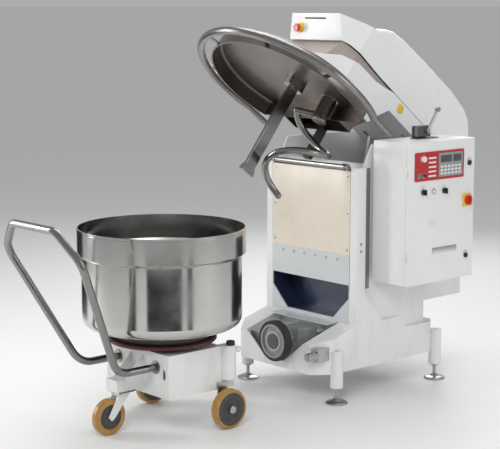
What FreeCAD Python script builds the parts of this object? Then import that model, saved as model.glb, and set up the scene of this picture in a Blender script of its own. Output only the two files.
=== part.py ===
"""Spiral dough mixer with a tilting head, and its removable bowl on a three-wheeled trolley.

Working frame, in millimetres: X across the machine, Y from the front to the back, Z up from the floor.
X = 0 is the centre plane of machine and trolley, and Y = 0 is the line of the front levelling feet.
Head parts are drawn with the head lowered (level) and then turned up about the head pivot to rest.
At the end everything is moved so that the origin is the centre of the whole outline on the floor.
"""
import FreeCAD, Part
import math
import os

V = FreeCAD.Vector
AXIS_X, AXIS_Y, AXIS_Z = V(1, 0, 0), V(0, 1, 0), V(0, 0, 1)
SIDES = (-1, 1)

# ---- machine body ----
BASE_HALF = 385
BASE_FRONT, BASE_BACK = -134, 880
BASE_BOTTOM, BASE_TOP = 175, 364
SHOULDER_TOP = 352
THROAT_HALF = 250
FOOT_X, FOOT_REAR_Y, FOOT_SLEEVE_R, FOOT_STEM_R, FOOT_PAD_R = 388, 860, 38, 11, 65
POST_FRONT, POST_BACK, POST_INNER, POST_TOP = 155, 231, 330, 1360
COLUMN_HALF, COLUMN_SHEET = 360, 8
COLUMN_TOP = 1490
HEAD_WAY_HALF = 262
PANEL_FACE, PANEL_SHEET = 155, 6
RAIL_Y, RAIL_Z, RAIL_R = 139, 1366, 15

# ---- head pivot and tilt ----
PIVOT_Y, PIVOT_Z, PIVOT_R = 730.5, 882, 30
TILT_DEG = 38
RUNNING = 0.05  # radial clearance of a shaft in its bore

# ---- head, drawn level ----
HEAD_HALF, NOSE_HALF = 245, 180
SEAM_TOP, SEAM_BOTTOM = 1510, 1506
LID_Z, LID_HEIGHT, LID_R, LID_CUT = 1115, 100, 485, 260
GUARD_Z, GUARD_R, GUARD_TUBE = 1135, 567, 22.5
GUARD_ARM_X, GUARD_ARM_END = 521.7, 395
SPIRAL_X, SPIRAL_BACK = 145, 195
SPIRAL_R, SPIRAL_ROD, SPIRAL_PITCH, SPIRAL_TURN_DEG, SPIRAL_START_DEG = 150, 20, 406, 430, 139
TOOL_BOTTOM = 575
BAR_BACK, BAR_WIDTH = 25, 80

# ---- bowl and trolley ----
DOCK_Y = -440
TROLLEY_Y = -975
BOWL_R, BOWL_BODY_R, BOWL_SHEET = 462, 440, 4
BOWL_BOTTOM, BOWL_STEP, BOWL_RIM = 552, 945, 1100
DRIVE_RING_Z, DRIVE_RING_R, DRIVE_RING_BORE = 472.5, 300, 190
CHASSIS_HALF, CHASSIS_BOTTOM, CHASSIS_TOP = 280, 210, 450
CHASSIS_REAR, CHASSIS_MID, CHASSIS_FRONT = -178, 195, 280
WHEEL_X, WHEEL_Y, WHEEL_R, WHEEL_WIDTH, AXLE_R = 340, 189, 110, 50, 12
CASTER_Y, CASTER_TRAIL, CASTER_R, CASTER_WIDTH = -290, 83, 100, 44
HANDLE_R = 21

# ---- friction drive of the bowl ----
DRIVE_X, DRIVE_Y, DRIVE_Z, DRIVE_R, DRIVE_WIDTH = 85, -205, 352, 120, 50

# ---- electrical cabinet ----
CAB_BACK, CAB_FRONT, CAB_FACE = 385, 640, 660
CAB_Y0, CAB_Y1, CAB_Z0, CAB_Z1 = 290, 866, 690, 1517
HINGE_X, HINGE_Y, HINGE_ZS = 644, 282, (860, 1350)

# ---- hydraulic lift of the head ----
LIFT_FOOT = (500, 470)
LIFT_HEAD_LEVEL = (450.5, 900)
LIFT_PIN_R = 12
LIFT_PIN_PLAY = 12

# ---- controls: (y, z) places on the cabinet door ----
SELECTOR_PLACES = ((414, 1228), (596, 1224))
MAIN_SWITCH_PLACE = (801, 1152)
LATCH_PLACES = ((817, 1371), (800, 819))
PROGRAM_KNOB_PLACE = (402, 1420)
BUTTON_PLACES = ((372, 1325), (414, 1325))
DOOR_SHAFT_R = 8
BEZEL = (338, 765, 1293, 1459)
LEVER_Y, LEVER_Z, LEVER_LENGTH = 600, 1560, 150

# ---- drive of the spiral, drawn level ----
PULLEY_Z0, PULLEY_Z1, PULLEY_R, MOTOR_PULLEY_R = 1560, 1612, 84, 40
MOTOR_PLACE = (20, 330)
MOTOR_R, MOTOR_POST_CIRCLE = 96, 125
ESTOP_X, ESTOP_LEVEL = -125, (-483, 1555)

# ---- outlines: (x, y) of the base, and (y, z) of the head's covers ----
BASE_PLAN = [(-300, BASE_FRONT), (300, BASE_FRONT), (BASE_HALF, -30), (BASE_HALF, 820), (330, BASE_BACK),
             (-330, BASE_BACK), (-BASE_HALF, 820), (-BASE_HALF, -30)]
UPPER_OUTLINE = [(-440, 1500), (-380, 1514), (-288, 1518), (-82, SEAM_TOP), (835, SEAM_TOP), (835, 1715),
                 (765, 1788), (684, 1818), (520, 1834), (225, 1826), (-30, 1812), (-140, 1793), (-212, 1755),
                 (-262, 1710), (-353, 1685), (-535, 1622)]
LOWER_OUTLINE = [(-600, 1240), (10, 1240), (50, 1310), (116, 1400), (700, 1400), (700, SEAM_BOTTOM),
                 (100, SEAM_BOTTOM), (65, 1502), (0, 1484), (-84, 1468), (-265, 1465), (-399, 1428),
                 (-480, 1375), (-600, 1300)]
BAND_OUTLINE = [(-478, 1379), (-398, 1431), (-265, 1468), (-84, 1471), (0, 1487), (45, 1500), (45, 1507),
                (-82, 1507), (-288, 1515), (-380, 1511), (-424, 1501)]
BAND_HOLLOW = [(-500, 1300), (60, 1300), (60, 1560), (-400, 1560), (-414, 1500), (-468, 1377)]

parts = {}


# ---------------------------------------------------------------- shape helpers
def box(x0, x1, y0, y1, z0, z1):
    return Part.makeBox(x1 - x0, y1 - y0, z1 - z0, V(x0, y0, z0))


def rod(start, end, radius):
    start, end = V(*start), V(*end)
    return Part.makeCylinder(radius, (end - start).Length, start, end - start)


def pipe(start, end, outer, inner):
    return rod(start, end, outer).cut(rod(start, end, inner))


def prism(points, direction):
    wire = Part.makePolygon([V(*p) for p in points] + [V(*points[0])])
    return Part.Face(wire).extrude(direction)


def prism_x(points, x0, x1):
    return prism([(x0, y, z) for y, z in points], V(x1 - x0, 0, 0))


def prism_y(points, y0, y1):
    return prism([(x, y0, z) for x, z in points], V(0, y1 - y0, 0))


def prism_z(points, z0, z1):
    return prism([(x, y, z0) for x, y in points], V(0, 0, z1 - z0))


def revolve(profile, x, y):
    """Turn a closed (radius, z) outline about the upright line through x, y."""
    points = [V(x + r, y, z) for r, z in profile]
    face = Part.Face(Part.makePolygon(points + [points[0]]))
    return face.revolve(V(x, y, 0), AXIS_Z, 360)


def revolve_y(profile, x, z):
    """Turn a closed (radius, y) outline about the line through x, z that runs front to back."""
    points = [V(x + r, y, z) for r, y in profile]
    face = Part.Face(Part.makePolygon(points + [points[0]]))
    return face.revolve(V(x, 0, z), AXIS_Y, 360)


def revolve_x(profile, y, z):
    """Turn a closed (radius, x) outline about the line through y, z that runs across."""
    points = [V(x, y, z + r) for r, x in profile]
    face = Part.Face(Part.makePolygon(points + [points[0]]))
    return face.revolve(V(0, y, z), AXIS_X, 360)


def meet(p, d, q, e):
    """The point where two lines in a plane cross."""
    t = ((q[0] - p[0]) * e[1] - (q[1] - p[1]) * e[0]) / (d[0] * e[1] - d[1] * e[0])
    return p[0] + t * d[0], p[1] + t * d[1]


def offset(points, distance, closed=True):
    """Move every side of an outline to its left by the distance, with mitred corners."""
    count = len(points)
    sides = []
    for i in range(count if closed else count - 1):
        (a, b), (c, d) = points[i], points[(i + 1) % count]
        length = math.hypot(c - a, d - b)
        normal = (-(d - b) / length * distance, (c - a) / length * distance)
        sides.append(((a + normal[0], b + normal[1]), (c - a, d - b)))
    if closed:
        return [meet(*sides[i - 1], *sides[i]) for i in range(count)]
    inner = [meet(*sides[i - 1], *sides[i]) for i in range(1, count - 1)]
    last_start, last_run = sides[-1]
    return [sides[0][0]] + inner + [(last_start[0] + last_run[0], last_start[1] + last_run[1])]


def bent_sheet(points, thickness, x0, x1):
    """A folded sheet whose outside follows the (y, z) points and whose thickness lies to their left."""
    return prism_x(points + offset(points, thickness, closed=False)[::-1], x0, x1)


def hex_nut(x, y, z0, z1, across, bore):
    corner = across / 2 / math.cos(math.pi / 6)
    angles = [i * math.pi / 3 for i in range(6)]
    points = [(x + corner * math.cos(angle), y + corner * math.sin(angle)) for angle in angles]
    return prism_z(points, z0, z1).cut(rod((x, y, z0 - 1), (x, y, z1 + 1), bore))


def group(shapes):
    return Part.makeCompound(list(shapes))


def fuse(first, *others):
    return first.fuse(list(others)).removeSplitter()


def mirror_x(shape):
    return shape.mirror(V(0, 0, 0), AXIS_X)


def rounded(shape, radius, keep):
    """Round the edges that keep() picks by their middle point."""
    edges = [e for e in shape.Edges if keep(e.CenterOfMass)]
    return shape.makeFillet(radius, edges)


def raised(shape):
    """Turn a head part, drawn level, up to its rest place."""
    turned = shape.copy()
    turned.rotate(V(0, PIVOT_Y, PIVOT_Z), AXIS_X, -TILT_DEG)
    return turned


def raised_point(y, z):
    """Where a (y, z) place of the level head goes when the head is raised."""
    angle = math.radians(TILT_DEG)
    dy, dz = y - PIVOT_Y, z - PIVOT_Z
    return (PIVOT_Y + dy * math.cos(angle) + dz * math.sin(angle),
            PIVOT_Z - dy * math.sin(angle) + dz * math.cos(angle))


def tube_along(points, bends, radius):
    """A round bar along straight runs joined by tangent arcs."""
    points = [V(*p) for p in points]
    edges = []
    start = points[0]
    for i, bend in enumerate(bends, 1):
        before = (points[i - 1] - points[i]).normalize()
        after = (points[i + 1] - points[i]).normalize()
        half = before.getAngle(after) / 2
        reach = bend / math.tan(half)
        inward = (before + after).normalize()
        arc_start, arc_end = points[i] + before * reach, points[i] + after * reach
        arc_mid = points[i] + inward * (bend / math.sin(half) - bend)
        edges.append(Part.LineSegment(start, arc_start).toShape())
        edges.append(Part.Arc(arc_start, arc_mid, arc_end).toShape())
        start = arc_end
    edges.append(Part.LineSegment(start, points[-1]).toShape())
    path = Part.Wire(edges)
    run = (points[1] - points[0]).normalize()
    circle = Part.Wire(Part.Circle(points[0], run, radius).toShape())
    return path.makePipeShell([circle], True, False)


# ---------------------------------------------------------------- machine body
def make_base():
    """An open-bottomed tub with a throat at its front, sloping shoulders, and sleeves for the feet."""
    hollow = prism_z(offset(BASE_PLAN, 8), BASE_BOTTOM - 10, BASE_TOP - 8)
    tub = prism_z(BASE_PLAN, BASE_BOTTOM, BASE_TOP).cut(hollow)
    above_front = box(-400, 400, BASE_FRONT - 10, POST_FRONT, SHOULDER_TOP, BASE_TOP + 1)
    throat = box(-THROAT_HALF, THROAT_HALF, BASE_FRONT + 8, POST_FRONT, SHOULDER_TOP - 20, BASE_TOP + 1)
    notch = prism_y([(-250, 353), (-80, 215), (80, 215), (250, 353)], BASE_FRONT - 5, BASE_FRONT + 9)
    base = tub.cut([above_front, throat, notch])
    footprint = prism_z(BASE_PLAN, BASE_BOTTOM, 700)
    extras = []
    for side in SIDES:
        def wing(points, x0, x1):
            return prism_x(points, side * x0, side * x1)
        shoulder = wing([(BASE_FRONT, 344), (BASE_FRONT, SHOULDER_TOP), (POST_FRONT, 436), (POST_FRONT, 344)],
                        THROAT_HALF, BASE_HALF)
        stub = wing([(POST_FRONT, 344), (POST_FRONT, 621), (POST_BACK, 621), (382, 436), (382, 344)],
                    POST_INNER, BASE_HALF)
        rear = wing([(382, 344), (382, 436), (525, 436), (596, BASE_TOP), (596, 344)],
                    COLUMN_HALF + 1, BASE_HALF)
        cheek = wing([(BASE_FRONT + 8, BASE_BOTTOM), (BASE_FRONT + 8, 344), (POST_FRONT, 344),
                      (POST_FRONT, BASE_BOTTOM)], THROAT_HALF, THROAT_HALF + 8)
        extras += [shoulder.common(footprint), stub, rear, cheek]
    base = fuse(base, *extras)
    sleeves = [pipe((x, y, 96), (x, y, 312), FOOT_SLEEVE_R, FOOT_STEM_R) for x, y in foot_places()]
    cores = [rod((x, y, 90), (x, y, 312), FOOT_STEM_R) for x, y in foot_places()]
    parts["base_frame"] = fuse(base, *sleeves).cut(cores)


def foot_places():
    return [(side * FOOT_X, y) for side in SIDES for y in (0, FOOT_REAR_Y)]


def make_feet():
    pad = [(0, 0), (FOOT_PAD_R, 0), (FOOT_PAD_R, 8), (FOOT_PAD_R - 8, 13), (30, 20), (20, 30), (0, 30)]
    feet = []
    for x, y in foot_places():
        nut = hex_nut(x, y, 80, 96, 34, FOOT_STEM_R - 1)
        feet.append(fuse(revolve(pad, x, y), rod((x, y, 29), (x, y, 240), FOOT_STEM_R), nut))
    parts["levelling_feet"] = group(feet)


def make_column():
    side_outline = [(384, BASE_TOP), (384, 438), (233, 623), (233, POST_TOP), (300, COLUMN_TOP),
                    (930, COLUMN_TOP), (1100, 1370), (1120, 1330), (1120, 500), (777, 500), (777, BASE_TOP)]
    plate = prism_x(side_outline, COLUMN_HALF - COLUMN_SHEET, COLUMN_HALF)
    plate = plate.cut(rod((0, PIVOT_Y, PIVOT_Z), (500, PIVOT_Y, PIVOT_Z), PIVOT_R))
    parts["column_sides"] = group([plate, mirror_x(plate)])

    inner = COLUMN_HALF - COLUMN_SHEET
    back_line = [(930, COLUMN_TOP), (1100, 1370), (1120, 1330), (1120, 500), (777, 500), (777, BASE_TOP)]
    back = bent_sheet(back_line, -6, -inner, inner)
    louvres = [box(-230, 230, 1100, 1130, z, z + 9) for z in range(640, 920, 28)]
    head_way = box(-HEAD_WAY_HALF, HEAD_WAY_HALF, 900, 1200, 1330, 1500)
    parts["rear_cover"] = back.cut(louvres + [head_way])

    post = box(POST_INNER, BASE_HALF, POST_FRONT, POST_BACK, 621, POST_TOP)
    post = post.cut(box(POST_INNER + 4, BASE_HALF - 4, POST_FRONT + 4, POST_BACK - 4, 620, POST_TOP - 4))
    post = rounded(post, 6, lambda c: abs(c.z - 990) < 40 and c.y < POST_FRONT + 1)
    top = fuse(box(-inner, inner, POST_BACK, 380, POST_TOP - 6, POST_TOP),
               box(-POST_INNER, POST_INNER, 165, POST_BACK, POST_TOP - 6, POST_TOP))
    parts["portal_frame"] = fuse(post, mirror_x(post), top)


def make_front_panels():
    half, back = POST_INNER - 1, PANEL_FACE + PANEL_SHEET
    parts["front_panel"] = box(-half, half, PANEL_FACE, back, 845, 1340)
    strip = box(-half, half, PANEL_FACE - 2, back, 782, 845)
    holes = [rod((-232 + i * 93, 140, 813), (-232 + i * 93, 170, 813), 9) for i in range(6)]
    parts["hole_strip"] = strip.cut(holes)
    mouth = [(-326, 668), (-326, 588), (-198, 457), (198, 457), (326, 588), (326, 668)]
    surround = box(-half, half, PANEL_FACE, back, BASE_TOP, 782).cut(prism_y(mouth, 100, 300))
    sill = box(-240, 240, 60, PANEL_FACE + 1, 430, 436)
    parts["recess_surround"] = fuse(surround, sill)
    cavity = offset(mouth, 4)
    parts["recess_liner"] = prism_y(mouth, back, 300).cut(prism_y(cavity, 100, 296))
    rail = rod((-POST_INNER, RAIL_Y, RAIL_Z), (POST_INNER, RAIL_Y, RAIL_Z), RAIL_R)
    collar = rod((284, RAIL_Y, RAIL_Z), (308, RAIL_Y, RAIL_Z), RAIL_R + 4)
    bracket = box(312, 326, RAIL_Y, 165, 1342, 1356)
    parts["front_rail"] = fuse(rail, collar, mirror_x(collar), bracket, mirror_x(bracket))


# ---------------------------------------------------------------- cabinet and controls
def make_cabinet():
    y0, y1, z0, z1 = CAB_Y0, CAB_Y1, CAB_Z0, CAB_Z1
    case = box(CAB_BACK, CAB_FRONT, y0, y1, z0, z1)
    case = case.cut([box(CAB_BACK + 4, CAB_FRONT - 4, y0 + 4, y1 - 4, z0 + 4, z1 - 4),
                     box(CAB_FRONT - 5, CAB_FRONT + 1, y0 + 22, y1 - 22, z0 + 22, z1 - 22)])
    rails = [box(COLUMN_HALF, CAB_BACK, 330, 830, z, z + 40) for z in (742, 1390)]
    parts["cabinet_box"] = fuse(case, *rails)

    door_x0 = CAB_FRONT + 2
    door = box(door_x0, CAB_FACE, y0, y1, z0, z1)
    door = door.cut(box(door_x0 - 1, CAB_FACE - 3, y0 + 4, y1 - 4, z0 + 4, z1 - 4))
    holes = [rod((door_x0, y, z), (CAB_FACE + 1, y, z), DOOR_SHAFT_R + RUNNING)
             for y, z in SELECTOR_PLACES + LATCH_PLACES + (MAIN_SWITCH_PLACE,)]
    parts["cabinet_door"] = door.cut(holes)
    root_leaves, door_leaves = [], []
    for z in HINGE_ZS:
        lower = fuse(rod((HINGE_X, HINGE_Y, z - 30), (HINGE_X, HINGE_Y, z), 6),
                     box(HINGE_X - 40, HINGE_X - 4, y0 - 4, y0, z - 30, z),
                     box(HINGE_X - 7, HINGE_X, HINGE_Y, y0 - 1, z - 30, z))
        upper = fuse(rod((HINGE_X, HINGE_Y, z + 0.3), (HINGE_X, HINGE_Y, z + 30), 6),
                     box(HINGE_X, CAB_FACE, y0 - 4, y0, z + 0.3, z + 30),
                     box(HINGE_X, HINGE_X + 6, HINGE_Y, y0, z + 0.3, z + 30))
        root_leaves.append(fuse(lower, rod((HINGE_X, HINGE_Y, z - 1), (HINGE_X, HINGE_Y, z + 30), 3)))
        door_leaves.append(upper.cut(rod((HINGE_X, HINGE_Y, z - 1), (HINGE_X, HINGE_Y, z + 31), 3 + RUNNING)))
    parts["door_hinges_fixed"] = group(root_leaves)
    parts["door_hinges_moving"] = group(door_leaves)

    plate = box(CAB_BACK + 4, 400, 330, 800, 800, 1440)
    drive = box(400, 530, 350, 560, 1090, 1400)
    fins = [box(440, 531, 362 + i * 24, 374 + i * 24, 1089, 1401) for i in range(8)]
    contactors = [box(400, 490, 350 + i * 70, 412 + i * 70, 900, 1000) for i in range(6)]
    parts["motor_drive_unit"] = fuse(plate, drive.cut(fins), *contactors)


def turning_knob(place, radius, depth, gap):
    """A round knob with a raised grip bar, held the gap off the door by a shaft through the sheet."""
    y, z = place
    face = CAB_FACE + gap
    body = rod((face, y, z), (face + depth, y, z), radius)
    grip_half = radius * 0.22
    grip = box(face + depth, face + depth + 12, y - grip_half, y + grip_half, z - radius, z + radius)
    shaft = rod((CAB_FRONT + 4, y, z), (face, y, z), DOOR_SHAFT_R)
    return fuse(body, grip, shaft)


def make_controls():
    by0, by1, bz0, bz1 = BEZEL
    face = CAB_FACE
    bezel = rounded(box(face, face + 5, by0, by1, bz0, bz1), 8,
                    lambda c: abs(c.x - face - 2.5) < 0.1)
    wells = [rod((face - 1, y, z), (face + 9, y, z), r)
             for y, z, r in [PROGRAM_KNOB_PLACE + (6 + RUNNING,)] + [p + (11.3,) for p in BUTTON_PLACES]]
    parts["panel_bezel"] = bezel.cut(wells + [box(face + 3, face + 6, 540, 752, 1306, 1447)])

    y, z = PROGRAM_KNOB_PLACE
    knob = rod((face + 5.3, y, z), (face + 24, y, z), 17)
    knob = rounded(knob, 3, lambda c: c.x > face + 23)
    pointer = box(face + 23, face + 25, y - 1.5, y + 1.5, z + 4, z + 15)
    parts["program_knob"] = fuse(knob, rod((face + 0.2, y, z), (face + 6, y, z), 6), pointer)
    for name, (y, z) in zip(("start_button", "stop_button"), BUTTON_PLACES):
        cap = fuse(rod((face + 6, y, z), (face + 13, y, z), 11),
                   rod((face + 4.5, y, z), (face + 7, y, z), 7))
        parts[name] = rounded(cap, 2, lambda c: c.x > face + 12)
    for name, place in zip(("selector_left", "selector_right"), SELECTOR_PLACES):
        parts[name] = turning_knob(place, 16, 12, 5.3)
    parts["main_switch_knob"] = turning_knob(MAIN_SWITCH_PLACE, 27, 16, 8.3)

    for name, (y, z) in zip(("latch_upper", "latch_lower"), LATCH_PLACES):
        head = rod((face + 0.3, y, z), (face + 9, y, z), 15)
        head = head.cut(box(face + 5, face + 10, y - 3, y + 3, z - 12, z + 12))
        shaft = rod((CAB_FRONT - 24, y, z), (face + 1, y, z), DOOR_SHAFT_R)
        tongue = box(CAB_FRONT - 24, CAB_FRONT - 20, y - 8, y + 8, z - 8, z + 38)
        parts[name] = fuse(head, shaft, tongue)


def make_limit_switch():
    """A roller-lever switch on the cabinet's roof, which feels the raised head."""
    y, z = LEVER_Y, LEVER_Z
    bracket = fuse(box(470, 530, 505, 690, CAB_Z1, CAB_Z1 + 5), box(470, 476, 520, 640, CAB_Z1 + 5, 1590))
    body = rounded(box(476, 512, 530, 640, 1528, 1592), 4, lambda c: abs(c.x - 512) < 0.1)
    parts["limit_switch"] = fuse(body, bracket).cut(rod((480, y, z), (520, y, z), 6 + RUNNING))
    direction = V(0, 76, 112).normalize()
    tip = V(523, y, z) + direction * LEVER_LENGTH
    arm = rod((523, y, z), (tip.x, tip.y, tip.z), 9)
    shaft = rod((490, y, z), (528, y, z), 6)
    hub = rod((512.4, y, z), (533, y, z), 14)
    roller = rod((513, tip.y, tip.z), (535, tip.y, tip.z), 15)
    parts["limit_lever"] = fuse(hub, shaft, arm, roller)


# ---------------------------------------------------------------- pivot, lift and bowl drive
def make_pivot():
    at = (PIVOT_Y, PIVOT_Z)
    parts["pivot_shaft"] = rod((-366, *at), (366, *at), PIVOT_R)
    flange = pipe((330, *at), (COLUMN_HALF - COLUMN_SHEET, *at), 70, PIVOT_R)
    cap = pipe((COLUMN_HALF, *at), (366, *at), 60, PIVOT_R)
    parts["pivot_flanges"] = group([flange, mirror_x(flange), cap, mirror_x(cap)])


def lift_line():
    """Foot, head end and unit direction of the lift cylinder with the head raised."""
    foot = V(0, *LIFT_FOOT)
    head = V(0, *raised_point(*LIFT_HEAD_LEVEL))
    return foot, head, (head - foot).normalize()


def make_lift():
    foot, head, up = lift_line()
    fy, fz = LIFT_FOOT
    cheeks = [box(x, x + 12, fy - 45, fy + 45, BASE_TOP, fz + 30) for x in (-45, 33)]
    pin_line = ((-45, fy, fz), (45, fy, fz))
    bracket = fuse(box(-90, 90, fy - 60, fy + 60, BASE_TOP, BASE_TOP + 12), *cheeks)
    parts["lift_bracket"] = fuse(bracket, rod(*pin_line, LIFT_PIN_R))

    def along(distance):
        return tuple(foot + up * distance)
    eye = rod((-30, fy, fz), (30, fy, fz), 28)
    barrel = fuse(eye, rod(along(1), along(60), 24), rod(along(52), along(360), 42))
    bore = rod(along(68), along(359), 34 + RUNNING)
    gland = rod(along(359), along(376), 42)
    gland_bore = rod(along(355), along(380), 18 + RUNNING)
    pin_hole = rod(*pin_line, LIFT_PIN_R + RUNNING)
    parts["lift_barrel"] = fuse(barrel.cut(bore), gland).cut([gland_bore, pin_hole])
    length = (head - foot).Length
    bar = rod(along(length - 355), along(length), 18)
    piston = rod(along(length - 355), along(length - 325), 34)
    head_eye = rod((-26, head.y, head.z), (26, head.y, head.z), 26)
    pin = rod((-46, head.y, head.z), (46, head.y, head.z), LIFT_PIN_R)
    parts["lift_rod"] = fuse(bar, piston, head_eye, pin)


def make_bowl_drive():
    x, z = DRIVE_X, DRIVE_Z
    back, front = DRIVE_Y + DRIVE_WIDTH / 2, DRIVE_Y - DRIVE_WIDTH / 2
    gearbox = rounded(box(x - 75, x + 75, -90, 60, 205, 415), 14, lambda c: abs(c.y + 15) < 1)
    plate = box(-THROAT_HALF, THROAT_HALF, -98, -89, 190, 340)
    housing = rounded(rod((x, -165, z), (x, -89, z), 45), 10, lambda c: c.y < -164)
    shaft_hole = rod((x, -170, z), (x, -40, z), 15 + RUNNING)
    motor = rod((x, 59, 270), (x, 290, 270), 70)
    fins = [rod((x, 70 + i * 14, 270), (x, 76 + i * 14, 270), 76) for i in range(14)]
    parts["drive_gearmotor"] = fuse(gearbox, plate, housing, motor, *fins).cut(shaft_hole)
    hub = revolve_y([(0, back), (0, front + 4), (60, front + 4), (64, front + 10), (84, front + 10),
                     (88, front), (100, front), (100, back)], x, z)
    cap = rounded(rod((x, front - 2, z), (x, front + 5, z), 46), 3, lambda c: c.y < front - 1)
    parts["drive_wheel"] = fuse(hub, cap, rod((x, front + 4, z), (x, -42, z), 15))
    tyre = revolve_y([(100, back), (100, front), (DRIVE_R - 5, front), (DRIVE_R, front + 6),
                      (DRIVE_R, back - 6), (DRIVE_R - 5, back)], x, z)
    parts["drive_wheel_tyre"] = tyre
    pin = rod((355, BASE_FRONT, 300), (355, BASE_FRONT - 80, 300), 25)
    pin = rounded(pin, 10, lambda c: c.y < BASE_FRONT - 79)
    block = box(318, 372, BASE_FRONT - 6, -40, 262, 338)
    parts["docking_pin"] = fuse(pin, block).cut(prism_z(BASE_PLAN, 0, 600))


# ---------------------------------------------------------------- head
def head_plan(inset=0):
    """The head's outline from above, narrowing towards its nose."""
    nose, half = NOSE_HALF - inset, HEAD_HALF - inset
    return [(-nose, -640 + inset), (nose, -640 + inset), (half, -300), (half, 840 - inset),
            (-half, 840 - inset), (-half, -300)]


def in_plan(shape, inset=0):
    return shape.common(prism_z(head_plan(inset), 1000, 2000))


def on_top_edge(c):
    """True for the middle of a long side edge of the head's roof."""
    return abs(c.x) > 200 and c.z > 1660 and c.y > -300


def make_head_covers():
    wide = HEAD_HALF + 5
    sheet = 4
    outer = rounded(prism_x(UPPER_OUTLINE, -HEAD_HALF, HEAD_HALF), 26, on_top_edge)
    inner_outline = offset(UPPER_OUTLINE, sheet)
    inner = rounded(prism_x(inner_outline, sheet - HEAD_HALF, HEAD_HALF - sheet), 26 - sheet, on_top_edge)
    mouth = [(-405, SEAM_TOP - 20), (831, SEAM_TOP - 20), (831, SEAM_TOP + 20), (-405, SEAM_TOP + 20)]
    upper = in_plan(outer).cut([in_plan(inner, sheet), in_plan(prism_x(mouth, -wide, wide), sheet)])
    parts["head_upper_cover"] = raised(upper)

    band = in_plan(prism_x(BAND_OUTLINE, -wide, wide), 14)
    gap = in_plan(prism_x(BAND_HOLLOW, -wide, wide), 20)
    parts["head_seam_band"] = raised(band.cut(gap))

    casing = in_plan(prism_x(LOWER_OUTLINE, -wide, wide))
    hollow = in_plan(prism_x(offset(LOWER_OUTLINE, 5), -wide, wide), 5)
    open_top = in_plan(box(-wide, wide, -302, 695, 1440, SEAM_BOTTOM + 1), 5)
    sx, sy = spiral_axis()
    holes = [rod((sx, sy, 1200), (sx, sy, 1300), 54)]
    holes += [box(side * 160 - 12, side * 160 + 12, 380, 720, 1390, 1510) for side in SIDES]
    parts["head_lower_casing"] = raised(casing.cut([hollow, open_top] + holes))


def spiral_axis():
    """Where the spiral's axis stands in the lowered head, off the bowl's centre."""
    return SPIRAL_X, DOCK_Y + SPIRAL_BACK


def make_head_frame():
    sx, sy = spiral_axis()
    deck = box(-180, 180, -150, 690, 1496, 1508)
    deck = fuse(deck, box(60, 215, -320, -150, 1496, 1508))
    arm_outline = [(400, 1500), (690, 1500), (792, 900), (770, 830), (690, 830), (668, 900)]
    arms = [prism_x(arm_outline, side * 150, side * 170) for side in SIDES]
    bosses = [rod((side * 140, PIVOT_Y, PIVOT_Z), (side * 200, PIVOT_Y, PIVOT_Z), 62) for side in SIDES]
    cross = rod((-150, 610, 1160), (150, 610, 1160), 32)
    by, bz = LIFT_HEAD_LEVEL
    lug_outline = [(600, 1185), (635, 1140), (490, 870), (by, bz - 38), (by - 38, bz - 10),
                   (by - 30, bz + 30)]
    lugs = [prism_x(lug_outline, side * 29, side * 41) for side in SIDES]
    frame = fuse(deck, *arms, *bosses, cross, *lugs)
    frame = frame.cut([rod((-300, PIVOT_Y, PIVOT_Z), (300, PIVOT_Y, PIVOT_Z), PIVOT_R + RUNNING),
                       rod((-60, by, bz), (60, by, bz), LIFT_PIN_R + LIFT_PIN_PLAY)])
    housing = rod((sx, sy, 1216), (sx, sy, 1530), 54)
    bore = rod((sx, sy, 1200), (sx, sy, 1540), PIVOT_R + RUNNING)
    parts["head_frame"] = raised(fuse(frame, housing).cut(bore))


def belt_loop(first, first_r, second, second_r, grow):
    """The outline of a belt round two pulleys, as a face in the plane z = 0."""
    dx, dy = second[0] - first[0], second[1] - first[1]
    run = math.hypot(dx, dy)
    heading, lean = math.atan2(dy, dx), math.acos((first_r - second_r) / run)

    def on(centre, radius, angle):
        reach = radius + grow
        return V(centre[0] + reach * math.cos(angle), centre[1] + reach * math.sin(angle), 0)
    left, right = heading + lean, heading - lean
    edges = [Part.LineSegment(on(first, first_r, left), on(second, second_r, left)).toShape(),
             Part.Arc(on(second, second_r, left), on(second, second_r, heading),
                      on(second, second_r, right)).toShape(),
             Part.LineSegment(on(second, second_r, right), on(first, first_r, right)).toShape(),
             Part.Arc(on(first, first_r, right), on(first, first_r, heading + math.pi),
                      on(first, first_r, left)).toShape()]
    return Part.Face(Part.Wire(edges))


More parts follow.
